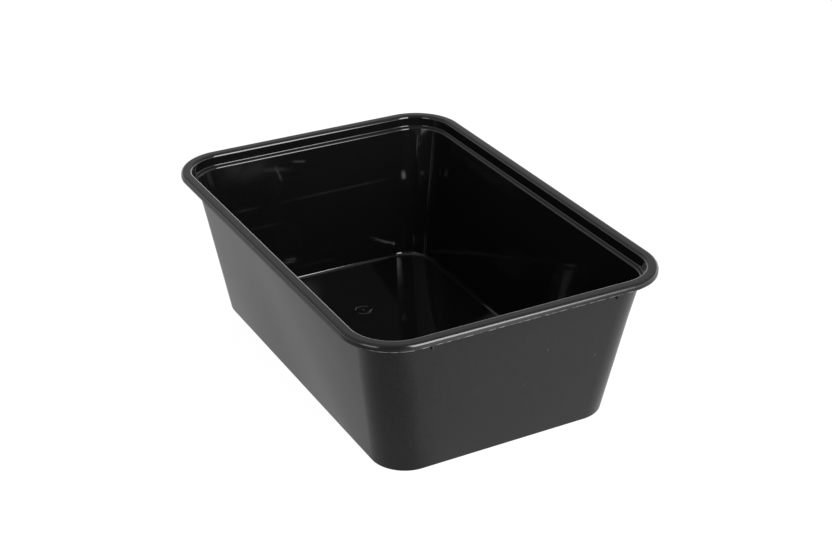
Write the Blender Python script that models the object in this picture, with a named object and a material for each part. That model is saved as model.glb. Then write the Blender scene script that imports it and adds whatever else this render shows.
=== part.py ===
"""Rectangular takeaway meal tub, moulded in one piece with an even thin wall.

Frame: +X along the length, +Y across the width, +Z up, origin at the centre of the flat underside.
The wall is drawn once as a half section, which a corner rule then carries round the tub.
The section gives the visible side: turned-down lip, flat rim, lid band, ledge, sloping wall, floor.
The other side of the wall runs parallel to it, one wall thickness behind, with a tighter round at the foot.
"""

import math

import bmesh
import bpy
from mathutils import Matrix, Vector

MM = 0.001

# Overall size, measured across the rim
LENGTH = 175.0 * MM
WIDTH = 121.0 * MM
HEIGHT = 59.0 * MM
RIM_CORNER = 19.6 * MM
WALL = 0.55 * MM

# Side walls: the foot's inset from the rim edge, the draft, and how the wall departs from the rim's outline.
# Its corners ease by a first amount just under the ledge, and by the rest evenly down to the foot.
FOOT_INSET = 13.95 * MM
WALL_DRAFT = math.radians(8.65)
LONG_SIDE_EXTRA = 0.65 * MM
CORNER_EASE = 6.5 * MM
CORNER_EASE_TOP = 0.8 * MM
CORNER_EASE_DEPTH = 0.28
FLOOR_FILLET = 1.6 * MM
FOOT_ROUND = 0.9 * MM
FLOOR_MARGIN = 1.5 * MM

# Rim: lip, flat crown, lid band and ledge, as insets from the rim edge and drops below the top
LIP_DROP = 2.3 * MM
CROWN_ROUND = 1.3 * MM
BAND_TOP_INSET = 4.35 * MM
BAND_FOOT_INSET = 4.85 * MM
LEDGE_DROP = 4.55 * MM
LEDGE_FILLET = 0.55 * MM
LEDGE_EDGE_DROP = 4.65 * MM
LEDGE_EDGE_ROUND = 0.8 * MM

# Lugs in the channel behind the lip that keep stacked tubs apart: thin webs between the crown and the
# ledge, their tips level with its underside. Places along each side, and the depth of their roots
LONG_SIDE_LUGS = (-49.8 * MM, -22.5 * MM, 22.5 * MM, 49.8 * MM)
SHORT_SIDE_LUGS = (-35.8 * MM, 35.8 * MM)
LUG_TIP_DROP = LEDGE_DROP + WALL
LUG_THICKNESS = 0.5 * MM
LUG_FRONT_INSET = 1.95 * MM
LUG_ROOT_DEPTH = 0.25 * MM
LUG_LEDGE_REACH = 0.35 * MM

# Moulding gates: a low ring with a dot in its middle, one each side of the floor's centre
GATE_X = 36.0 * MM
GATE_RING_RADIUS = 2.9 * MM
GATE_RING_WIDTH = 0.5 * MM
GATE_DOT_RADIUS = 0.45 * MM
GATE_RELIEF = 0.15 * MM
GATE_SIDES = 24
GATE_DOT_SIDES = 10

# Fineness of the round stretches
CORNER_STEPS = 10
DEGREES_PER_STEP = 18.0
SHARP_EDGE = math.radians(40.0)

PLASTIC_COLOUR = (0.012, 0.012, 0.013, 1.0)
PLASTIC_ROUGHNESS = 0.3


def clear_scene():
    """Empty the scene of its objects."""
    for obj in list(bpy.data.objects):
        bpy.data.objects.remove(obj, do_unlink=True)


def wall_inset(z):
    """Inset of the inner wall face at a height, from the foot's inset and the draft."""
    return FOOT_INSET + WALL / math.cos(WALL_DRAFT) - z * math.tan(WALL_DRAFT)


def section_corners(floor_round):
    """Corners of the half section as (inset, height), each with its rounding radius; the floor's is given."""
    ledge_edge = HEIGHT - LEDGE_EDGE_DROP
    floor_end = wall_inset(WALL) + FLOOR_MARGIN
    return [
        (Vector((0.0, HEIGHT - LIP_DROP)), 0.0),
        (Vector((0.0, HEIGHT)), CROWN_ROUND),
        (Vector((BAND_TOP_INSET, HEIGHT)), CROWN_ROUND),
        (Vector((BAND_FOOT_INSET, HEIGHT - LEDGE_DROP)), LEDGE_FILLET),
        (Vector((wall_inset(ledge_edge), ledge_edge)), LEDGE_EDGE_ROUND),
        (Vector((wall_inset(WALL), WALL)), floor_round),
        (Vector((floor_end, WALL)), 0.0),
    ]


def left_normal(direction):
    """Unit normal on the visible side of a stretch of the section."""
    return Vector((-direction.y, direction.x)).normalized()


def rounded_corner(before, corner, after, radius):
    """Points and normals of the arc that rounds one corner of the section."""
    into = (corner - before).normalized()
    out = (after - corner).normalized()
    turn = into.x * out.y - into.y * out.x
    side = 1.0 if turn > 0 else -1.0
    angle = into.angle(out)
    centre = corner - into * radius * math.tan(angle / 2) + left_normal(into) * side * radius
    steps = max(2, round(math.degrees(angle) / DEGREES_PER_STEP))
    arc = []
    for step in range(steps + 1):
        spin = Matrix.Rotation(side * angle * step / steps, 2)
        normal = spin @ left_normal(into)
        arc.append((centre - normal * side * radius, normal))
    return arc


def section_path(floor_round):
    """The visible side of the half section, from the lip's lower edge to the floor."""
    corners = section_corners(floor_round)
    first, last = corners[0][0], corners[-1][0]
    path = [(first, left_normal(corners[1][0] - first))]
    for (before, _), (corner, radius), (after, _) in zip(corners, corners[1:], corners[2:]):
        path += rounded_corner(before, corner, after, radius)
    path.append((last, left_normal(last - corners[-2][0])))
    return path


def outline(inset, z):
    """Loop of points round the tub at an inset from the rim edge and a height."""
    ledge_height = HEIGHT - LEDGE_EDGE_DROP
    depth = min(max(1.0 - z / ledge_height, 0.0), 1.0)
    half_x = LENGTH / 2 - inset
    half_y = WIDTH / 2 - inset - LONG_SIDE_EXTRA * depth
    ease = CORNER_EASE * depth + CORNER_EASE_TOP * min(depth / CORNER_EASE_DEPTH, 1.0)
    radius = RIM_CORNER - inset + ease
    points = []
    for quarter, (sx, sy) in enumerate(((1, 1), (-1, 1), (-1, -1), (1, -1))):
        centre = Vector((sx * (half_x - radius), sy * (half_y - radius), z))
        for step in range(CORNER_STEPS + 1):
            angle = (quarter + step / CORNER_STEPS) * math.pi / 2
            points.append(centre + Vector((math.cos(angle), math.sin(angle), 0.0)) * radius)
    return points


def link_mesh(name, mesh_maker, collection):
    """Run a bmesh maker and link its result as a named object with outward faces."""
    bm = bmesh.new()
    mesh_maker(bm)
    bmesh.ops.recalc_face_normals(bm, faces=bm.faces)
    mesh = bpy.data.meshes.new(name)
    bm.to_mesh(mesh)
    bm.free()
    obj = bpy.data.objects.new(name, mesh)
    collection.objects.link(obj)
    return obj


def make_shell(bm):
    """Closed thin wall: the visible side out to the floor, then the parallel side back."""
    front = section_path(FLOOR_FILLET)
    behind = section_path(FOOT_ROUND - WALL)
    stations = [point for point, _ in front]
    stations += [point - normal * WALL for point, normal in reversed(behind)]
    loops = []
    for point in stations:
        loops.append([bm.verts.new(co) for co in outline(point.x, point.y)])
    count = len(loops[0])
    floor_top = len(front) - 1
    for index in range(len(loops)):
        if index == floor_top:
            continue
        here, there = loops[index], loops[(index + 1) % len(loops)]
        for k in range(count):
            nxt = (k + 1) % count
            bm.faces.new((here[k], here[nxt], there[nxt], there[k]))
    bm.faces.new(loops[floor_top])
    bm.faces.new(reversed(loops[floor_top + 1]))


def lug_profile():
    """Profile of a lug as (inset, drop): its roots lie inside the crown, the lid band and the ledge."""
    return (
        (LUG_FRONT_INSET, LUG_ROOT_DEPTH),
        (BAND_TOP_INSET - LUG_ROOT_DEPTH, LUG_ROOT_DEPTH),
        (BAND_FOOT_INSET - LUG_ROOT_DEPTH, LEDGE_DROP - LUG_ROOT_DEPTH),
        (BAND_FOOT_INSET + LUG_LEDGE_REACH, LEDGE_DROP + LUG_ROOT_DEPTH),
        (LUG_FRONT_INSET, LUG_TIP_DROP),
    )


def make_lug(along, outward, place, half_size):
    """Maker of a thin web across the channel behind the lip of one side."""
    def maker(bm):
        sides = []
        for shift in (-LUG_THICKNESS / 2, LUG_THICKNESS / 2):
            side = []
            for inset, drop in lug_profile():
                point = along * (place + shift) + outward * (half_size - inset)
                side.append(bm.verts.new((point.x, point.y, HEIGHT - drop)))
            sides.append(side)
        first, second = sides
        bm.faces.new(first)
        bm.faces.new(second[::-1])
        for k in range(len(first)):
            nxt = (k + 1) % len(first)
            bm.faces.new((first[nxt], first[k], second[k], second[nxt]))
    return maker


def add_lugs(collection):
    """Lugs on all four sides."""
    along_x, along_y = Vector((1, 0, 0)), Vector((0, 1, 0))
    for sign in (-1, 1):
        for place in LONG_SIDE_LUGS:
            maker = make_lug(along_x, along_y * sign, place, WIDTH / 2)
            link_mesh("long_side_lug", maker, collection)
        for place in SHORT_SIDE_LUGS:
            maker = make_lug(along_y, along_x * sign, place, LENGTH / 2)
            link_mesh("short_side_lug", maker, collection)


def make_gate_ring(x):
    """Maker of the low ring of one moulding gate."""
    def maker(bm):
        low, high = WALL / 2, WALL + GATE_RELIEF
        inner, outer = GATE_RING_RADIUS, GATE_RING_RADIUS + GATE_RING_WIDTH
        turns = []
        for step in range(GATE_SIDES):
            angle = 2 * math.pi * step / GATE_SIDES
            section = ((inner, low), (outer, low), (outer, high), (inner, high))
            turns.append([bm.verts.new((x + r * math.cos(angle), r * math.sin(angle), z)) for r, z in section])
        for step in range(GATE_SIDES):
            here, there = turns[step], turns[(step + 1) % GATE_SIDES]
            for k in range(4):
                nxt = (k + 1) % 4
                bm.faces.new((here[k], here[nxt], there[nxt], there[k]))
    return maker


def make_gate_dot(x):
    """Maker of the dot in the middle of one moulding gate."""
    def maker(bm):
        height = WALL / 2 + GATE_RELIEF
        place = Matrix.Translation((x, 0.0, WALL / 2 + height / 2))
        bmesh.ops.create_cone(bm, cap_ends=True, segments=GATE_DOT_SIDES, radius1=GATE_DOT_RADIUS,
                              radius2=GATE_DOT_RADIUS, depth=height, matrix=place)
    return maker


def add_gates(collection):
    """Both moulding gates of the floor."""
    for x in (-GATE_X, GATE_X):
        link_mesh("gate_ring", make_gate_ring(x), collection)
        link_mesh("gate_dot", make_gate_dot(x), collection)


def fuse(body, collection):
    """Join everything in a collection to the body as one solid, then drop the collection's objects."""
    union = body.modifiers.new("fuse", "BOOLEAN")
    union.operation = "UNION"
    union.solver = "EXACT"
    union.operand_type = "COLLECTION"
    union.collection = collection
    bpy.context.view_layer.update()
    fused = bpy.data.meshes.new_from_object(body.evaluated_get(bpy.context.evaluated_depsgraph_get()))
    body.modifiers.clear()
    body.data = fused
    for obj in list(collection.objects):
        bpy.data.objects.remove(obj, do_unlink=True)
    bpy.data.collections.remove(collection)


def black_plastic():
    """Plain material of the moulded plastic."""
    material = bpy.data.materials.new("black_plastic")
    material.use_nodes = True
    shader = material.node_tree.nodes["Principled BSDF"]
    shader.inputs["Base Color"].default_value = PLASTIC_COLOUR
    shader.inputs["Roughness"].default_value = PLASTIC_ROUGHNESS
    shader.inputs["Metallic"].default_value = 0.0
    return material


def build():
    """Make the tub."""
    clear_scene()
    scene_collection = bpy.context.scene.collection
    small_parts = bpy.data.collections.new("small_parts")
    scene_collection.children.link(small_parts)
    tub = link_mesh("tub", make_shell, scene_collection)
    add_lugs(small_parts)
    add_gates(small_parts)
    fuse(tub, small_parts)
    tub.data.materials.clear()
    tub.data.materials.append(black_plastic())
    tub.data.shade_smooth()
    tub.data.set_sharp_from_angle(angle=SHARP_EDGE)


build()
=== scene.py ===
"""Looks of the takeaway meal tub: one moulding, polished inside and satin outside, on a pale floor.

Frame: +X along the length, +Y across the width, +Z up, origin at the centre of the flat underside.
The tub is drawn as in the solid model, as a half section that a corner rule carries round, with finer
steps and with what moulding leaves behind: gate marks, slightly bowed walls and a thin parting flash,
the flash drawn only as a painted highlight on the lip.
"""

import math

import bmesh
import bpy
from mathutils import Matrix, Vector
from mathutils.geometry import delaunay_2d_cdt


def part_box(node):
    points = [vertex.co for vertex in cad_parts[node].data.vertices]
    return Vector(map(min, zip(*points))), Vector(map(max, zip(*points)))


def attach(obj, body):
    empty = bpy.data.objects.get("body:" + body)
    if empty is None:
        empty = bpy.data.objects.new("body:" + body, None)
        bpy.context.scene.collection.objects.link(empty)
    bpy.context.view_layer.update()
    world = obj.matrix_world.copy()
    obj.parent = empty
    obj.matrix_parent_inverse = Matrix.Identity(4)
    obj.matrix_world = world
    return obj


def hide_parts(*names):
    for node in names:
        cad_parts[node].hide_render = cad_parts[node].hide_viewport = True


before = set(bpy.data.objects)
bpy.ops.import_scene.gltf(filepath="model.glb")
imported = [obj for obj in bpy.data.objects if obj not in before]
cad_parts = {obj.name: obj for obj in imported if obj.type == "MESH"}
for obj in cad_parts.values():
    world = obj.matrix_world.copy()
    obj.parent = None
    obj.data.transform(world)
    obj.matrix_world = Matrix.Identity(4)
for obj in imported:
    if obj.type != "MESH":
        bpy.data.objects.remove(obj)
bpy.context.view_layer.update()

MM = 0.001

# Overall size, from the frame
LOW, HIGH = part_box("tub")
LENGTH = HIGH.x - LOW.x
WIDTH = HIGH.y - LOW.y
HEIGHT = HIGH.z - LOW.z
RIM_CORNER = 19.6 * MM
WALL = 0.55 * MM

# Side walls and floor
FOOT_INSET = 13.95 * MM
WALL_DRAFT = math.radians(8.65)
LONG_SIDE_EXTRA = 0.65 * MM
CORNER_EASE = 6.5 * MM
CORNER_EASE_TOP = 0.8 * MM
CORNER_EASE_DEPTH = 0.28
FLOOR_FILLET = 1.6 * MM
FOOT_ROUND = 0.9 * MM
FLOOR_MARGIN = 1.5 * MM

# Rim, as insets from its edge and drops below its top
LIP_DROP = 2.3 * MM
CROWN_ROUND = 1.3 * MM
BAND_TOP_INSET = 4.35 * MM
BAND_FOOT_INSET = 4.85 * MM
LEDGE_DROP = 4.55 * MM
LEDGE_FILLET = 0.55 * MM
LEDGE_EDGE_DROP = 4.65 * MM
LEDGE_EDGE_ROUND = 0.8 * MM

# Lugs: thin webs across the channel behind the lip, their tips level with the ledge's underside
LONG_SIDE_LUGS = (-49.8 * MM, -22.5 * MM, 22.5 * MM, 49.8 * MM)
SHORT_SIDE_LUGS = (-35.8 * MM, 35.8 * MM)
LUG_TIP_DROP = LEDGE_DROP + WALL
LUG_THICKNESS = 0.5 * MM
LUG_FRONT_INSET = 1.95 * MM
LUG_ROOT_DEPTH = 0.25 * MM
LUG_LEDGE_REACH = 0.35 * MM

# Moulding gates in the floor, and the radii in millimetres of the circles that the mesh has round them
GATE_X = 36.0 * MM
GATE_RING_RADIUS = 3.15 * MM
GATE_RING_HALF_WIDTH = 0.4 * MM
GATE_DOT_RADIUS = 0.6 * MM
GATE_RELIEF = 0.15 * MM
GATE_CIRCLES = (0.25, 0.5, 0.8, 1.8, 2.6, 2.85, 3.0, 3.15, 3.3, 3.45, 3.7)
GATE_SIDES = 48
GATE_CLEARANCE = 4.5 * MM

# How far the thin wall departs from flat: the side walls bow inwards and ripple, the floor crowns
WALL_BOW = 0.25 * MM
WALL_RIPPLE = 0.05 * MM
RIPPLE_WAVES = 1.2
RIPPLE_SLANT = 0.7
FLOOR_CROWN = 0.2 * MM
FLOOR_CROWN_EDGE = 0.25

# Fineness of the mesh
CORNER_STEPS = 28
LONG_SIDE_STEPS = 40
SHORT_SIDE_STEPS = 26
DEGREES_PER_STEP = 7.5
RUN_STEP = 2.8 * MM
FLOOR_GRID = 6.0 * MM
WELD_REACH = 1e-9
SHARP_EDGE = math.radians(35)

# Plastic colour, the pale tone of dust on it that also paints highlights and a reflection, and its refractive
# index
PLASTIC_BLACK = (0.0035, 0.0034, 0.0036, 1.0)
DUST_AND_HIGHLIGHT_PALE = (0.300, 0.300, 0.315, 1.0)
PLASTIC_IOR = 1.49

# Broad patches of uneven gloss, the noise levels between which the mottle comes up, clouds in the pale marks
# and painted highlights, and where a stroke starts to fade towards its ends
PATCH_SCALE = 55.0
MOTTLE_RANGE = (0.35, 0.65)
CLOUD_SCALE = 190.0
CLOUD_RANGE = (0.3, 0.7, 0.55, 1.3)
STROKE_END = 0.15

# Painted highlight of the parting flash along the lip's lower edge at the near end, where the right panel's
# light catches it: its height above that edge, its broken pattern and where along X it sets in
FLASH_HIGHLIGHT_HEIGHT = 0.32 * MM
FLASH_HIGHLIGHT_SCALE = 420.0
FLASH_HIGHLIGHT_BREAKS = (0.38, 0.62)
FLASH_HIGHLIGHT_START = 0.074
FLASH_HIGHLIGHT_FULL = 0.080

# Finishes: polished inside, satin outside, and the lip between them
FINISHES = (
    ("polished_black", {
        "grain": {"Scale": 900.0, "Depth": 0.0000003, "Roughness": 0.06, "Spread": 0.05, "Fleck": 0.0015},
        "dust": {"Scale": 170.0, "Size": 0.05, "Share": 0.05}, "dust_level": 0.07}),
    ("satin_black", {
        "grain": {"Scale": 1500.0, "Depth": 0.000005, "Roughness": 0.24, "Spread": 0.06, "Fleck": 0.014},
        "dust": {"Scale": 150.0, "Size": 0.06, "Share": 0.05}, "dust_level": 0.2}),
    ("lip_black", {
        "grain": {"Scale": 1200.0, "Depth": 0.000003, "Roughness": 0.17, "Spread": 0.05, "Fleck": 0.008},
        "dust": {"Scale": 150.0, "Size": 0.05, "Share": 0.04}, "dust_level": 0.15, "flash": 0.55}),
)
INSIDE, OUTSIDE, LIP = range(3)

# Marks as (start, end, half width, strength). On the far end wall: thin lines of painted highlight and
# reflection along the wall, then pale streaks and a broad pale patch near the rim, and two painted highlights
# by its corner. Under the ledge of the far side: a painted reflection, a pale wedge. On the near end's
# outside: three specks
PALE_MARKS_AND_HIGHLIGHTS = (
    # Thin lines of painted highlight and reflection along the far end wall
    ((-0.0782, -0.038, 0.0345), (-0.0782, -0.024, 0.0345), 0.0009, 0.022),
    ((-0.0782, -0.024, 0.0345), (-0.0782, 0.042, 0.0345), 0.0009, 0.022),
    ((-0.0769, -0.035, 0.0260), (-0.0769, -0.013, 0.0260), 0.0008, 0.012),
    ((-0.0738, -0.017, 0.0056), (-0.0738, 0.010, 0.0056), 0.0008, 0.012),
    ((-0.0806, -0.0105, 0.0504), (-0.0805, -0.0025, 0.0491), 0.0009, 0.085),
    ((-0.0807, -0.0174, 0.0515), (-0.0794, -0.0143, 0.0418), 0.0010, 0.045),
    ((-0.0805, -0.0250, 0.0498), (-0.0802, -0.0080, 0.0470), 0.0016, 0.030),
    ((-0.0808, -0.046, 0.0510), (-0.0808, -0.015, 0.0510), 0.0075, 0.022),
    # Two painted highlights by the far corner
    ((-0.0783, 0.0404, 0.0375), (-0.0775, 0.0404, 0.0323), 0.0014, 0.31),
    ((-0.0745, 0.0473, 0.0370), (-0.0742, 0.0473, 0.0344), 0.0014, 0.071),
    # Painted reflection under the far ledge
    ((-0.070, 0.0545, 0.0500), (0.004, 0.0545, 0.0500), 0.0035, 0.012),
    ((0.0790, 0.0122, 0.0374), (0.0794, 0.0128, 0.0374), 0.0006, 0.14),
    ((0.0771, 0.0046, 0.0246), (0.0775, 0.0052, 0.0246), 0.0006, 0.10),
    ((0.0778, 0.0327, 0.0291), (0.0782, 0.0333, 0.0291), 0.0006, 0.12),
)

# Floor as mirrored in the tub, painted light and shade that reflections alone see: (place, level) across the
# long side's soft bands, with the tub's painted shadow across them, (place, level) out from the near end, and
# the painted dark area that opens outwards from the near corner
LONG_SIDE_BANDS = (
    (-0.130, 0.30), (-0.090, 0.35), (-0.062, 0.42), (-0.057, 0.50), (-0.053, 0.64),
    (-0.050, 0.62), (-0.045, 0.52), (-0.040, 0.54), (-0.035, 0.66), (-0.030, 0.68),
)
SHORT_SIDE_BANDS = (
    (0.060, 0.60), (0.080, 0.56), (0.100, 0.49), (0.125, 0.44), (0.140, 0.52), (0.160, 0.95), (0.200, 1.0),
)
# Brighter stretches of it as (start, end, level before, level after): behind the tub, and far out
BEHIND = (-0.020, 0.050, 1.0, 2.4)
FAR_OUT = (0.137, 0.153, 1.0, 1.8)
# Directions that the two sets of bands are laid across, and how softly they meet
ACROSS_LONG_SIDE = (-0.22, 1.0)
OUT_FROM_NEAR_END = (1.0, -0.45)
MEETING = (-0.3, 0.3)
# The dark area: its point, the way it opens, how far round it starts and how fast it deepens, and its level
# as (start, end, level before, level after)
NEAR_CORNER = (0.066, -0.032)
AHEAD = (0.643, -0.766)
DARK_START = 0.1
DARK_GAIN = 1.18
DARK_LEVEL = (0.015, 0.055, 0.20, 0.10)

# Floor itself: grey, glow and half its size
FLOOR_GREY = (0.12, 0.12, 0.12, 1.0)
FLOOR_GLOW = 0.95
FLOOR_HALF = 3.0

# Corners of a flat piece as signs of its half sizes, and the white of every glow
QUAD_SIGNS = ((-1, -1), (1, -1), (1, 1), (-1, 1))
WHITE = (1.0, 1.0, 1.0, 1.0)

# Light panels as (name, left, right, low, high, radiance, (fade at the right end, fade at the top))
RIGHT_PANEL_LEFT, RIGHT_PANEL_RIGHT = (0.565, 0.010), (0.565, 0.372)
LEFT_PANEL_LEFT, LEFT_PANEL_RIGHT = (0.247, -0.312), (0.088, -0.415)
RIGHT_PANEL_TOP = 0.672
PANELS = (
    ("right_panel", RIGHT_PANEL_LEFT, RIGHT_PANEL_RIGHT, 0.11, RIGHT_PANEL_TOP, 12.5, (0.07, 0.01)),
    ("left_panel", LEFT_PANEL_LEFT, LEFT_PANEL_RIGHT, 0.10, 0.26, 5.0, (0.01, 0.02)),
)
# Dark surfaces of painted shade, which show in reflections alone, one between the panels and one above the
# right panel: their glow and their top
DARK_GLOW = 0.16
DARK_TOP = 0.95

# Surround: its levels at the horizon by side as (start, end, level before, level after) along Y, where the
# horizon's light ends, its level higher up, and its level as the camera sees it
HORIZON_BY_SIDE = (0.25, 0.60, 1.9, 3.4)
HORIZON_ENDS = (0.03, 0.36)
SURROUND_LEVEL = 0.64
SURROUND_SEEN = 1.0

# Camera at the photograph's view: its place, the way back from what it looks at, its lens and sensor in
# millimetres, and the nearest and farthest that it sees
CAMERA_EYE = Vector((0.486885, -0.259230, 0.320741))
CAMERA_BACK = Vector((0.7791, -0.4216, 0.4639))
CAMERA_LENS = 71.62
CAMERA_SENSOR = 36.0
CAMERA_NEAR = 0.01
CAMERA_FAR = 20.0


def wall_inset(z):
    """Inset of the inner wall face at a height."""
    return FOOT_INSET + WALL / math.cos(WALL_DRAFT) - z * math.tan(WALL_DRAFT)


def section_corners(floor_round):
    """Corners of the half section as (inset, height), each with its rounding radius; the floor's is given."""
    ledge_edge = HEIGHT - LEDGE_EDGE_DROP
    floor_end = wall_inset(WALL) + FLOOR_MARGIN
    return [
        (Vector((0.0, HEIGHT - LIP_DROP)), 0.0),
        (Vector((0.0, HEIGHT)), CROWN_ROUND),
        (Vector((BAND_TOP_INSET, HEIGHT)), CROWN_ROUND),
        (Vector((BAND_FOOT_INSET, HEIGHT - LEDGE_DROP)), LEDGE_FILLET),
        (Vector((wall_inset(ledge_edge), ledge_edge)), LEDGE_EDGE_ROUND),
        (Vector((wall_inset(WALL), WALL)), floor_round),
        (Vector((floor_end, WALL)), 0.0),
    ]


def left_normal(direction):
    """Unit normal on the visible side of a stretch of the section."""
    return Vector((-direction.y, direction.x)).normalized()


def rounded_corner(before, corner, after, radius):
    """Points and normals of the arc that rounds one corner of the section."""
    into = (corner - before).normalized()
    out = (after - corner).normalized()
    turn = into.x * out.y - into.y * out.x
    side = 1.0 if turn > 0 else -1.0
    angle = into.angle(out)
    centre = corner - into * radius * math.tan(angle / 2) + left_normal(into) * side * radius
    steps = max(3, round(math.degrees(angle) / DEGREES_PER_STEP))
    arc = []
    for step in range(steps + 1):
        normal = Matrix.Rotation(side * angle * step / steps, 2) @ left_normal(into)
        arc.append((centre - normal * side * radius, normal))
    return arc


def filled(path):
    """The path with extra points along its long straight runs."""
    full = [path[0]]
    for (start, _), (end, normal) in zip(path, path[1:]):
        pieces = max(1, round((end - start).length / RUN_STEP))
        for piece in range(1, pieces):
            full.append((start.lerp(end, piece / pieces), normal))
        full.append((end, normal))
    return full


def section_path(floor_round):
    """The visible side of the half section, from the lip's lower edge to the floor."""
    corners = section_corners(floor_round)
    first, last = corners[0][0], corners[-1][0]
    path = [(first, left_normal(corners[1][0] - first))]
    for (before, _), (corner, radius), (after, _) in zip(corners, corners[1:], corners[2:]):
        path += rounded_corner(before, corner, after, radius)
    path.append((last, left_normal(last - corners[-2][0])))
    return filled(path)


def bow(along, z):
    """How far a side wall leans inwards at a place along it, from -1 to 1, and a height."""
    rise = z / (HEIGHT - LEDGE_EDGE_DROP)
    if not 0.0 < rise < 1.0:
        return 0.0
    hold = math.sin(math.pi * rise) ** 2 * (1.0 - along * along) ** 2
    ripple = math.sin(2 * RIPPLE_WAVES * math.pi * (along + RIPPLE_SLANT * rise))
    return hold * (WALL_BOW + WALL_RIPPLE * ripple)


def outline(inset, z):
    """Loop of points round the tub at an inset from the rim edge and a height."""
    ledge_height = HEIGHT - LEDGE_EDGE_DROP
    depth = min(max(1.0 - z / ledge_height, 0.0), 1.0)
    half_x = LENGTH / 2 - inset
    half_y = WIDTH / 2 - inset - LONG_SIDE_EXTRA * depth
    ease = CORNER_EASE * depth + CORNER_EASE_TOP * min(depth / CORNER_EASE_DEPTH, 1.0)
    radius = RIM_CORNER - inset + ease
    points = []
    quarters = ((1, 1), (-1, 1), (-1, -1), (1, -1))
    side_steps = (LONG_SIDE_STEPS, SHORT_SIDE_STEPS)
    for quarter, (sx, sy) in enumerate(quarters):
        centre = Vector((sx * (half_x - radius), sy * (half_y - radius), z))
        for step in range(CORNER_STEPS + 1):
            angle = (quarter + step / CORNER_STEPS) * math.pi / 2
            points.append(centre + Vector((math.cos(angle), math.sin(angle), 0.0)) * radius)
        next_sx, next_sy = quarters[(quarter + 1) % 4]
        next_centre = Vector((next_sx * (half_x - radius), next_sy * (half_y - radius), z))
        end_angle = (quarter + 1) * math.pi / 2
        outward = Vector((math.cos(end_angle), math.sin(end_angle), 0.0))
        steps = side_steps[quarter % 2]
        for step in range(1, steps):
            share = step / steps
            place = centre.lerp(next_centre, share) + outward * radius
            points.append(place - outward * bow(2 * share - 1, z))
    return points


def gate_relief(x, y):
    """Height of the gate marks above the floor at one place."""
    away = min(math.hypot(x - gate, y) for gate in (-GATE_X, GATE_X))
    ring = max(0.0, 1.0 - ((away - GATE_RING_RADIUS) / GATE_RING_HALF_WIDTH) ** 2)
    dot = max(0.0, 1.0 - (away / GATE_DOT_RADIUS) ** 2)
    return GATE_RELIEF * max(ring, dot)


def floor_crown(x, y):
    """Height by which the floor rises above flat at one place."""
    across = math.cos(math.pi * x / LENGTH) * math.cos(math.pi * y / WIDTH)
    return FLOOR_CROWN * max(0.0, across - FLOOR_CROWN_EDGE)


def floor_points(edge):
    """Places inside the floor's edge: circles round the gates and a plain grid elsewhere."""
    places, ties = [], []
    for gate in (-GATE_X, GATE_X):
        places.append(Vector((gate, 0.0)))
        for radius in GATE_CIRCLES:
            start = len(places)
            for step in range(GATE_SIDES):
                angle = 2 * math.pi * step / GATE_SIDES
                places.append(Vector((gate + radius * MM * math.cos(angle), radius * MM * math.sin(angle))))
                ties.append((start + step, start + (step + 1) % GATE_SIDES))
    reach_x = max(v.x for v in edge)
    reach_y = max(v.y for v in edge)
    corner = min(reach_x, reach_y) / 3
    count_x, count_y = int(reach_x / FLOOR_GRID), int(reach_y / FLOOR_GRID)
    for i in range(-count_x + 1, count_x):
        for j in range(-count_y + 1, count_y):
            place = Vector((i * FLOOR_GRID, j * FLOOR_GRID))
            over_x = max(0.0, abs(place.x) - reach_x + corner)
            over_y = max(0.0, abs(place.y) - reach_y + corner)
            near_gate = min((place - Vector((gate, 0.0))).length for gate in (-GATE_X, GATE_X))
            if math.hypot(over_x, over_y) < corner - FLOOR_GRID / 2 and near_gate > GATE_CLEARANCE:
                places.append(place)
    return places, ties


def fill_floor(bm, loop, relief, faces_up):
    """Close a loop with a floor whose heights follow a relief rule."""
    edge = [Vector((v.co.x, v.co.y)) for v in loop]
    inner, ties = floor_points(edge)
    count = len(edge)
    ring = [(k, (k + 1) % count) for k in range(count)]
    ties = ring + [(a + count, b + count) for a, b in ties]
    places, _, faces, origins, _, _ = delaunay_2d_cdt(edge + inner, ties, [], 1, WELD_REACH)
    level = loop[0].co.z
    verts = []
    for place, origin in zip(places, origins):
        if origin and origin[0] < count:
            verts.append(loop[origin[0]])
        else:
            verts.append(bm.verts.new((place.x, place.y, level + relief(place.x, place.y))))
    for face in faces:
        corners = [verts[k] for k in face]
        bm.faces.new(corners if faces_up else corners[::-1])


def inner_relief(x, y):
    """Relief of the floor inside the tub."""
    return floor_crown(x, y) + gate_relief(x, y)


def outer_relief(x, y):
    """Relief of the underside, which the floor's crown lifts off the ground."""
    return floor_crown(x, y)


def lug_profile():
    """Profile of a lug as (inset, drop): its roots lie inside the crown, the lid band and the ledge."""
    return (
        (LUG_FRONT_INSET, LUG_ROOT_DEPTH),
        (BAND_TOP_INSET - LUG_ROOT_DEPTH, LUG_ROOT_DEPTH),
        (BAND_FOOT_INSET - LUG_ROOT_DEPTH, LEDGE_DROP - LUG_ROOT_DEPTH),
        (BAND_FOOT_INSET + LUG_LEDGE_REACH, LEDGE_DROP + LUG_ROOT_DEPTH),
        (LUG_FRONT_INSET, LUG_TIP_DROP),
    )


def add_lug(bm, along_side, outward, place, half_size):
    """Thin web across the channel behind the lip of one side."""
    sides = []
    for shift in (-LUG_THICKNESS / 2, LUG_THICKNESS / 2):
        side = []
        for inset, drop in lug_profile():
            point = along_side * (place + shift) + outward * (half_size - inset)
            side.append(bm.verts.new((point.x, point.y, HEIGHT - drop)))
        sides.append(side)
    first, second = sides
    faces = [bm.faces.new(first), bm.faces.new(second[::-1])]
    for k in range(len(first)):
        nxt = (k + 1) % len(first)
        faces.append(bm.faces.new((first[nxt], first[k], second[k], second[nxt])))
    for face in faces:
        face.material_index = OUTSIDE


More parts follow.
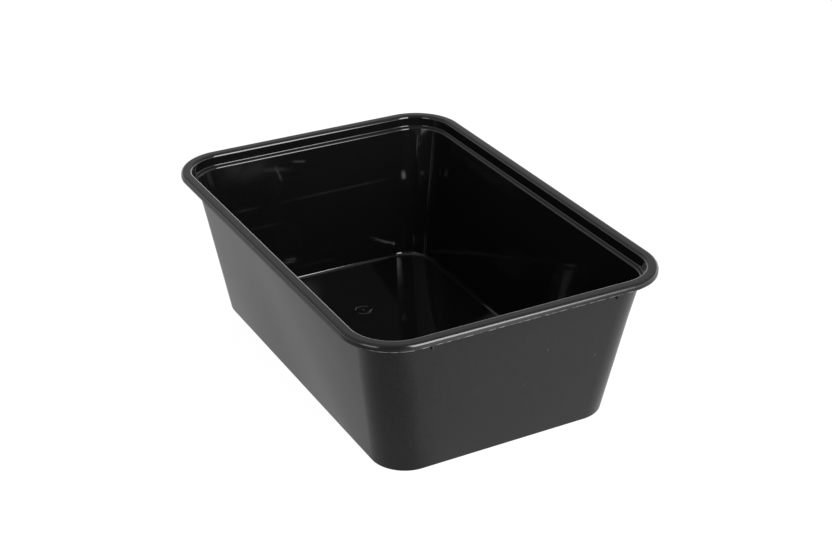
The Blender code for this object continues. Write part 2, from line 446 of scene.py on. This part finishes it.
def add_lugs(bm):
    """Lugs on all four sides, which keep stacked tubs apart."""
    along_x, along_y = Vector((1, 0, 0)), Vector((0, 1, 0))
    for sign in (-1, 1):
        for place in LONG_SIDE_LUGS:
            add_lug(bm, along_x, along_y * sign, place, WIDTH / 2)
        for place in SHORT_SIDE_LUGS:
            add_lug(bm, along_y, along_x * sign, place, LENGTH / 2)


def make_tub_mesh():
    """Mesh of the moulding: visible side first, then the parallel side behind it."""
    front = section_path(FLOOR_FILLET)
    behind = section_path(FOOT_ROUND - WALL)
    stations = [(point, True) for point, _ in front]
    stations += [(point - normal * WALL, False) for point, normal in reversed(behind)]
    bm = bmesh.new()
    loops = [[bm.verts.new(co) for co in outline(point.x, point.y)] for point, _ in stations]
    count = len(loops[0])
    floor_top = len(front) - 1
    outer_side = sum(1 for point, _ in front if point.x < CROWN_ROUND and point.y > HEIGHT - LIP_DROP - MM)
    for index in range(len(loops)):
        if index == floor_top:
            continue
        after = (index + 1) % len(loops)
        if stations[index][1] and stations[after][1]:
            finish = LIP if index < outer_side else INSIDE
        else:
            finish = OUTSIDE
        for k in range(count):
            nxt = (k + 1) % count
            face = bm.faces.new((loops[index][k], loops[index][nxt], loops[after][nxt], loops[after][k]))
            face.material_index = finish
    known = set(bm.faces)
    fill_floor(bm, loops[floor_top], inner_relief, True)
    inside = set(bm.faces) - known
    fill_floor(bm, loops[floor_top + 1], outer_relief, False)
    for face in set(bm.faces) - known:
        face.material_index = INSIDE if face in inside else OUTSIDE
    for face in bm.faces:
        face.smooth = True
    add_lugs(bm)
    bmesh.ops.recalc_face_normals(bm, faces=bm.faces)
    mesh = bpy.data.meshes.new("tub_shell")
    bm.to_mesh(mesh)
    bm.free()
    return mesh


def link(name, mesh):
    """New object in the scene."""
    obj = bpy.data.objects.new(name, mesh)
    bpy.context.scene.collection.objects.link(obj)
    return obj


def new_group(name, inputs, outputs):
    """Empty node group with named inputs and outputs; returns its tree and its two end nodes."""
    tree = bpy.data.node_groups.new(name, "ShaderNodeTree")
    for socket_name, kind in inputs:
        tree.interface.new_socket(name=socket_name, in_out="INPUT", socket_type=kind)
    for socket_name, kind in outputs:
        tree.interface.new_socket(name=socket_name, in_out="OUTPUT", socket_type=kind)
    return tree, tree.nodes.new("NodeGroupInput"), tree.nodes.new("NodeGroupOutput")


def noise_value(tree, place, scale, detail):
    """Noise over the surface from 0 to 1; the scale is a number or a socket. Returns its output."""
    node = tree.nodes.new("ShaderNodeTexNoise")
    tree.links.new(place, node.inputs["Vector"])
    if isinstance(scale, (int, float)):
        node.inputs["Scale"].default_value = scale
    else:
        tree.links.new(scale, node.inputs["Scale"])
    node.inputs["Detail"].default_value = detail
    return node.outputs["Fac"]


def grain_group():
    """Fine texture of the mould: a height for Bump, a roughness that drifts and a pale mottle."""
    inputs = (("Place", "NodeSocketVector"), ("Scale", "NodeSocketFloat"), ("Depth", "NodeSocketFloat"),
              ("Roughness", "NodeSocketFloat"), ("Spread", "NodeSocketFloat"), ("Fleck", "NodeSocketFloat"))
    outputs = (("Height", "NodeSocketFloat"), ("Roughness", "NodeSocketFloat"), ("Fleck", "NodeSocketFloat"))
    tree, given, result = new_group("mould_grain", inputs, outputs)
    fine = noise_value(tree, given.outputs["Place"], given.outputs["Scale"], 2.0)
    broad = noise_value(tree, given.outputs["Place"], PATCH_SCALE, 3.0)
    tree.links.new(scalar(tree, "MULTIPLY", fine, given.outputs["Depth"]), result.inputs["Height"])
    shift = scalar(tree, "MULTIPLY", scalar(tree, "SUBTRACT", broad, 0.5), given.outputs["Spread"])
    drift = scalar(tree, "ADD", given.outputs["Roughness"], shift, clamp=True)
    tree.links.new(drift, result.inputs["Roughness"])
    mottle = eased(tree, fine, *MOTTLE_RANGE)
    tree.links.new(scalar(tree, "MULTIPLY", mottle, given.outputs["Fleck"]), result.inputs["Fleck"])
    return tree


def flash_highlight_group():
    """Painted highlight where light catches the parting flash: a broken bright line along the lip's lower
    edge at the near end.
    """
    inputs = (("Place", "NodeSocketVector"), ("Amount", "NodeSocketFloat"))
    tree, given, result = new_group("parting_flash_highlight", inputs, (("Mask", "NodeSocketFloat"),))
    split = tree.nodes.new("ShaderNodeSeparateXYZ")
    tree.links.new(given.outputs["Place"], split.inputs["Vector"])
    edge = HEIGHT - LIP_DROP
    low = eased(tree, split.outputs["Z"], edge, edge + FLASH_HIGHLIGHT_HEIGHT, 1.0, 0.0)
    near_end = eased(tree, split.outputs["X"], FLASH_HIGHLIGHT_START, FLASH_HIGHLIGHT_FULL)
    broken = eased(tree, noise_value(tree, given.outputs["Place"], FLASH_HIGHLIGHT_SCALE, 2.0), *FLASH_HIGHLIGHT_BREAKS)
    mask = scalar(tree, "MULTIPLY", scalar(tree, "MULTIPLY", low, near_end), broken)
    tree.links.new(scalar(tree, "MULTIPLY", mask, given.outputs["Amount"]), result.inputs["Mask"])
    return tree


def dust_group():
    """Scattered pale specks of dust and plastic, as a mask."""
    inputs = (("Place", "NodeSocketVector"), ("Scale", "NodeSocketFloat"), ("Size", "NodeSocketFloat"),
              ("Share", "NodeSocketFloat"))
    tree, given, result = new_group("dust_specks", inputs, (("Mask", "NodeSocketFloat"),))
    cells = tree.nodes.new("ShaderNodeTexVoronoi")
    tree.links.new(given.outputs["Place"], cells.inputs["Vector"])
    tree.links.new(given.outputs["Scale"], cells.inputs["Scale"])
    chance = tree.nodes.new("ShaderNodeSeparateColor")
    tree.links.new(cells.outputs["Color"], chance.inputs["Color"])
    near = scalar(tree, "LESS_THAN", cells.outputs["Distance"], given.outputs["Size"])
    chosen = scalar(tree, "LESS_THAN", chance.outputs["Red"], given.outputs["Share"])
    tree.links.new(scalar(tree, "MULTIPLY", near, chosen), result.inputs["Mask"])
    return tree


def stroke(tree, place, start, end, reach, level):
    """Soft mask along a straight stroke between two places, up to a level; returns its output."""
    start, end = Vector(start), Vector(end)
    middle = (start + end) / 2
    half = (end - start).length / 2
    direction = (end - start).normalized()
    offset = tree.nodes.new("ShaderNodeVectorMath")
    offset.operation = "SUBTRACT"
    tree.links.new(place, offset.inputs[0])
    offset.inputs[1].default_value = middle
    dot = tree.nodes.new("ShaderNodeVectorMath")
    dot.operation = "DOT_PRODUCT"
    tree.links.new(offset.outputs["Vector"], dot.inputs[0])
    dot.inputs[1].default_value = direction
    length = tree.nodes.new("ShaderNodeVectorMath")
    length.operation = "LENGTH"
    tree.links.new(offset.outputs["Vector"], length.inputs[0])
    along_it = dot.outputs["Value"]
    squared = scalar(tree, "SUBTRACT", scalar(tree, "POWER", length.outputs["Value"], 2),
                     scalar(tree, "POWER", scalar(tree, "ABSOLUTE", along_it), 2))
    beside = scalar(tree, "SQRT", scalar(tree, "MAXIMUM", squared, 0.0))
    across = eased(tree, beside, 0.0, reach, level, 0.0)
    ends = eased(tree, scalar(tree, "ABSOLUTE", along_it), half * STROKE_END, half, 1.0, 0.0)
    return scalar(tree, "MULTIPLY", across, ends)


def marks_and_highlights_group():
    """Pale marks: painted highlight lines and spots, a painted reflection under the far ledge, pale streaks
    and a pale patch high on the far end wall, and specks.
    """
    inputs = (("Place", "NodeSocketVector"),)
    tree, given, result = new_group("marks_and_painted_highlights", inputs, (("Marks_and_highlights", "NodeSocketFloat"),))
    place = given.outputs["Place"]
    total = None
    for start, end, reach, level in PALE_MARKS_AND_HIGHLIGHTS:
        mask = stroke(tree, place, start, end, reach, level)
        total = mask if total is None else scalar(tree, "ADD", total, mask)
    cloud = noise_value(tree, place, CLOUD_SCALE, 4.0)
    uneven = eased(tree, cloud, *CLOUD_RANGE)
    tree.links.new(scalar(tree, "MULTIPLY", total, uneven), result.inputs["Marks_and_highlights"])
    return tree


def placed_group(tree, group, place, values):
    """A group placed in a material with its own values; returns its node."""
    node = tree.nodes.new("ShaderNodeGroup")
    node.node_tree = group
    tree.links.new(place, node.inputs["Place"])
    for name, value in values.items():
        node.inputs[name].default_value = value
    return node


def black_plastic(name, groups, finish):
    """Black plastic whose roughness, grain, dust, painted flash highlight and pale marks with painted
    highlights come from the shared groups.
    """
    material = bpy.data.materials.new(name)
    material.use_nodes = True
    tree = material.node_tree
    shader = tree.nodes["Principled BSDF"]
    shader.inputs["IOR"].default_value = PLASTIC_IOR
    place = tree.nodes.new("ShaderNodeTexCoord").outputs["Object"]
    grain = placed_group(tree, groups["grain"], place, finish["grain"])
    dust = placed_group(tree, groups["dust"], place, finish["dust"])
    marks = placed_group(tree, groups["marks"], place, {})
    tree.links.new(grain.outputs["Roughness"], shader.inputs["Roughness"])
    colour = tree.nodes.new("ShaderNodeMix")
    colour.data_type = "RGBA"
    # The marks add painted highlights and a painted reflection to the pale share; the dust specks and mottle
    # are the plastic's own.
    specks = scalar(tree, "MULTIPLY", dust.outputs["Mask"], finish["dust_level"])
    pale = scalar(tree, "ADD", marks.outputs["Marks_and_highlights"], specks)
    pale = scalar(tree, "ADD", pale, grain.outputs["Fleck"], clamp=True)
    # Painted highlight of the parting flash on the lip at the near end.
    if "flash" in finish:
        flash = placed_group(tree, groups["flash"], place, {"Amount": finish["flash"]})
        pale = scalar(tree, "ADD", pale, flash.outputs["Mask"], clamp=True)
    tree.links.new(pale, colour.inputs["Factor"])
    colour.inputs["A"].default_value = PLASTIC_BLACK
    colour.inputs["B"].default_value = DUST_AND_HIGHLIGHT_PALE
    tree.links.new(colour.outputs["Result"], shader.inputs["Base Color"])
    bump = tree.nodes.new("ShaderNodeBump")
    bump.inputs["Strength"].default_value = 1.0
    bump.inputs["Distance"].default_value = 1.0
    tree.links.new(grain.outputs["Height"], bump.inputs["Height"])
    tree.links.new(bump.outputs["Normal"], shader.inputs["Normal"])
    return material


def make_tub():
    """The dressed moulding, which stands for the solid one."""
    tub = link("moulded_tub", make_tub_mesh())
    groups = {"grain": grain_group(), "dust": dust_group(), "marks": marks_and_highlights_group(), "flash": flash_highlight_group()}
    for name, finish in FINISHES:
        tub.data.materials.append(black_plastic(name, groups, finish))
    tub.data.set_sharp_from_angle(angle=SHARP_EDGE)
    weigh = tub.modifiers.new("weigh_normals", "WEIGHTED_NORMAL")
    weigh.mode = "FACE_AREA"
    weigh.keep_sharp = True
    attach(tub, "root")
    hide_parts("tub")
    return tub


def emitter(name, strength):
    """Material that only glows white."""
    material = bpy.data.materials.new(name)
    material.use_nodes = True
    tree = material.node_tree
    tree.nodes.clear()
    glow = tree.nodes.new("ShaderNodeEmission")
    glow.inputs["Color"].default_value = WHITE
    glow.inputs["Strength"].default_value = strength
    out = tree.nodes.new("ShaderNodeOutputMaterial")
    tree.links.new(glow.outputs["Emission"], out.inputs["Surface"])
    return material


def quad(name, corners, material):
    """Flat four-cornered stage piece."""
    mesh = bpy.data.meshes.new(name)
    mesh.from_pydata([tuple(c) for c in corners], [], [(0, 1, 2, 3)])
    mesh.materials.append(material)
    obj = link(name, mesh)
    return obj


def only_reflected(obj):
    """Let a stage piece show in reflections alone."""
    obj.visible_camera = False
    obj.visible_diffuse = False
    obj.visible_transmission = False
    obj.visible_volume_scatter = False
    obj.visible_shadow = False


def scalar(tree, operation, first, second=None, clamp=False):
    """Math node whose inputs are numbers or sockets; returns its output."""
    node = tree.nodes.new("ShaderNodeMath")
    node.operation = operation
    node.use_clamp = clamp
    for socket, value in zip(node.inputs, (first, second)):
        if value is None:
            continue
        if isinstance(value, (int, float)):
            socket.default_value = value
        else:
            tree.links.new(value, socket)
    return node.outputs["Value"]


def eased(tree, value, start, end, low=0.0, high=1.0):
    """Smooth step of a value between two places; returns its output."""
    node = tree.nodes.new("ShaderNodeMapRange")
    node.interpolation_type = "SMOOTHSTEP"
    tree.links.new(value, node.inputs["Value"])
    node.inputs["From Min"].default_value = start
    node.inputs["From Max"].default_value = end
    node.inputs["To Min"].default_value = low
    node.inputs["To Max"].default_value = high
    return node.outputs["Result"]


def curve(tree, value, points):
    """Smooth curve through (place, level) points; returns its output."""
    node = tree.nodes.new("ShaderNodeFloatCurve")
    first, last = points[0][0], points[-1][0]
    spread = node.mapping.curves[0]
    node.mapping.extend = "HORIZONTAL"
    for place, level in points[1:-1]:
        spread.points.new((place - first) / (last - first), level)
    spread.points[0].location = (0.0, points[0][1])
    spread.points[-1].location = (1.0, points[-1][1])
    node.mapping.update()
    scaled = tree.nodes.new("ShaderNodeMapRange")
    tree.links.new(value, scaled.inputs["Value"])
    scaled.inputs["From Min"].default_value = first
    scaled.inputs["From Max"].default_value = last
    tree.links.new(scaled.outputs["Result"], node.inputs["Value"])
    return node.outputs["Value"]


def blend(tree, share, first, second):
    """Mix of two values by a share; returns its output."""
    node = tree.nodes.new("ShaderNodeMix")
    for name, value in (("Factor", share), ("A", first), ("B", second)):
        if isinstance(value, (int, float)):
            node.inputs[name].default_value = value
        else:
            tree.links.new(value, node.inputs[name])
    return node.outputs["Result"]


def along(tree, x, y, direction):
    """Distance along a direction on the floor; returns its output."""
    part_x = scalar(tree, "MULTIPLY", x, direction[0])
    part_y = scalar(tree, "MULTIPLY", y, direction[1])
    return scalar(tree, "ADD", part_x, part_y)


def floor_mirrored(tree, x, y):
    """Painted brightness of the floor as the tub mirrors it: light round the tub with its painted shadow,
    dark before its near corner.
    """
    across = along(tree, x, y, ACROSS_LONG_SIDE)
    outwards = along(tree, x, y, OUT_FROM_NEAR_END)
    long_side = curve(tree, across, LONG_SIDE_BANDS)
    long_side = scalar(tree, "MULTIPLY", long_side, eased(tree, across, *BEHIND))
    near_end = curve(tree, outwards, SHORT_SIDE_BANDS)
    near_end = scalar(tree, "MULTIPLY", near_end, eased(tree, outwards, *FAR_OUT))
    from_x = scalar(tree, "SUBTRACT", x, NEAR_CORNER[0])
    from_y = scalar(tree, "SUBTRACT", y, NEAR_CORNER[1])
    ahead = along(tree, from_x, from_y, AHEAD)
    aside = along(tree, from_x, from_y, (-AHEAD[1], AHEAD[0]))
    squares = scalar(tree, "ADD", scalar(tree, "POWER", from_x, 2), scalar(tree, "POWER", from_y, 2))
    away = scalar(tree, "SQRT", squares)
    beside = scalar(tree, "DIVIDE", aside, away)
    sides = blend(tree, eased(tree, beside, *MEETING), long_side, near_end)
    facing = scalar(tree, "SUBTRACT", scalar(tree, "DIVIDE", ahead, away), DARK_START)
    shade = scalar(tree, "MAXIMUM", scalar(tree, "MULTIPLY", facing, DARK_GAIN), 0.0, clamp=True)
    dark = eased(tree, away, *DARK_LEVEL)
    return blend(tree, shade, sides, dark)


def make_floor():
    """Pale floor like a light table, whose painted shade makes it look darker in places in the tub's
    reflections.
    """
    material = bpy.data.materials.new("pale_floor")
    material.use_nodes = True
    tree = material.node_tree
    shader = tree.nodes["Principled BSDF"]
    shader.inputs["Base Color"].default_value = FLOOR_GREY
    shader.inputs["Roughness"].default_value = 1.0
    shader.inputs["Specular IOR Level"].default_value = 0.0
    shader.inputs["Emission Color"].default_value = WHITE
    place = tree.nodes.new("ShaderNodeTexCoord")
    split = tree.nodes.new("ShaderNodeSeparateXYZ")
    tree.links.new(place.outputs["Object"], split.inputs["Vector"])
    mirrored = floor_mirrored(tree, split.outputs["X"], split.outputs["Y"])
    # Painted reflection: glossy rays see the floor's painted light and shade, other rays an even glow.
    sight = tree.nodes.new("ShaderNodeLightPath")
    level = blend(tree, sight.outputs["Is Glossy Ray"], FLOOR_GLOW, mirrored)
    tree.links.new(level, shader.inputs["Emission Strength"])
    corners = [Vector((sx * FLOOR_HALF, sy * FLOOR_HALF, 0.0)) for sx, sy in QUAD_SIGNS]
    quad("floor", corners, material)


def soft_panel(name, left, right, low, high, radiance, fades):
    """Upright light panel between two places on the floor, which fades out at its right end and its top."""
    width = (Vector(right) - Vector(left)).length
    height = high - low
    material = emitter(name, radiance)
    tree = material.node_tree
    place = tree.nodes.new("ShaderNodeTexCoord")
    split = tree.nodes.new("ShaderNodeSeparateXYZ")
    tree.links.new(place.outputs["Object"], split.inputs["Vector"])
    end_fade = eased(tree, split.outputs["X"], width / 2 - fades[0], width / 2, 1.0, 0.0)
    top_fade = eased(tree, split.outputs["Y"], height / 2 - fades[1], height / 2, 1.0, 0.0)
    strength = scalar(tree, "MULTIPLY", scalar(tree, "MULTIPLY", end_fade, top_fade), radiance)
    tree.links.new(strength, tree.nodes["Emission"].inputs["Strength"])
    corners = [Vector((sx * width / 2, sy * height / 2, 0)) for sx, sy in QUAD_SIGNS]
    panel = quad(name, corners, material)
    across = Vector((right[0] - left[0], right[1] - left[1], 0)).normalized()
    facing = Vector((0, 0, 1)).cross(across)
    centre = (Vector((*left, low)) + Vector((*right, high))) / 2
    panel.matrix_world = Matrix.Translation(centre) @ basis(across, facing)
    panel.visible_camera = False
    panel.visible_shadow = False
    return panel


def basis(across, back):
    """Rotation whose X runs across and whose Z points back."""
    up = back.cross(across)
    rows = Matrix((across, up, back)).transposed()
    return rows.to_4x4()


def upright_card(name, start, end, low, high, material):
    """Upright stage piece between two places on the floor, which shows in reflections alone."""
    foot = [Vector((*place, low)) for place in (start, end)]
    head = [Vector((*place, high)) for place in (end, start)]
    only_reflected(quad(name, foot + head, material))


def make_lights():
    """Two upright soft panels, the dark opening between them for the camera, and a dark card above."""
    for panel in PANELS:
        soft_panel(*panel)
    # Painted shade: dark glowing cards that only reflections see, standing for the unlit room before the tub.
    dark = emitter("dark_opening", DARK_GLOW)
    upright_card("front_opening", LEFT_PANEL_LEFT, RIGHT_PANEL_LEFT, 0.0, DARK_TOP, dark)
    upright_card("dark_above_panel", RIGHT_PANEL_LEFT, RIGHT_PANEL_RIGHT, RIGHT_PANEL_TOP, DARK_TOP, dark)


def make_world():
    """Pale surround, brightest just above the floor's edge and most of all behind the tub's far side."""
    world = bpy.data.worlds.new("pale_surround")
    world.use_nodes = True
    tree = world.node_tree
    tree.nodes.clear()
    place = tree.nodes.new("ShaderNodeTexCoord")
    split = tree.nodes.new("ShaderNodeSeparateXYZ")
    tree.links.new(place.outputs["Generated"], split.inputs["Vector"])
    horizon = eased(tree, split.outputs["Y"], *HORIZON_BY_SIDE)
    above = eased(tree, scalar(tree, "ABSOLUTE", split.outputs["Z"]), *HORIZON_ENDS)
    reflected = blend(tree, above, horizon, SURROUND_LEVEL)
    sight = tree.nodes.new("ShaderNodeLightPath")
    level = blend(tree, sight.outputs["Is Camera Ray"], reflected, SURROUND_SEEN)
    glow = tree.nodes.new("ShaderNodeBackground")
    tree.links.new(level, glow.inputs["Strength"])
    out = tree.nodes.new("ShaderNodeOutputWorld")
    tree.links.new(glow.outputs["Background"], out.inputs["Surface"])
    bpy.context.scene.world = world


def make_camera():
    """Camera at the photograph's viewing angle."""
    data = bpy.data.cameras.new("camera")
    data.lens = CAMERA_LENS
    data.sensor_width = CAMERA_SENSOR
    data.clip_start = CAMERA_NEAR
    data.clip_end = CAMERA_FAR
    camera = bpy.data.objects.new("camera", data)
    bpy.context.scene.collection.objects.link(camera)
    back = CAMERA_BACK.normalized()
    across = Vector((0, 0, 1)).cross(back).normalized()
    camera.matrix_world = Matrix.Translation(CAMERA_EYE) @ basis(across, back)
    bpy.context.scene.camera = camera


make_tub()
make_floor()
make_lights()
make_world()
make_camera()
bpy.context.scene.view_settings.view_transform = "Standard"
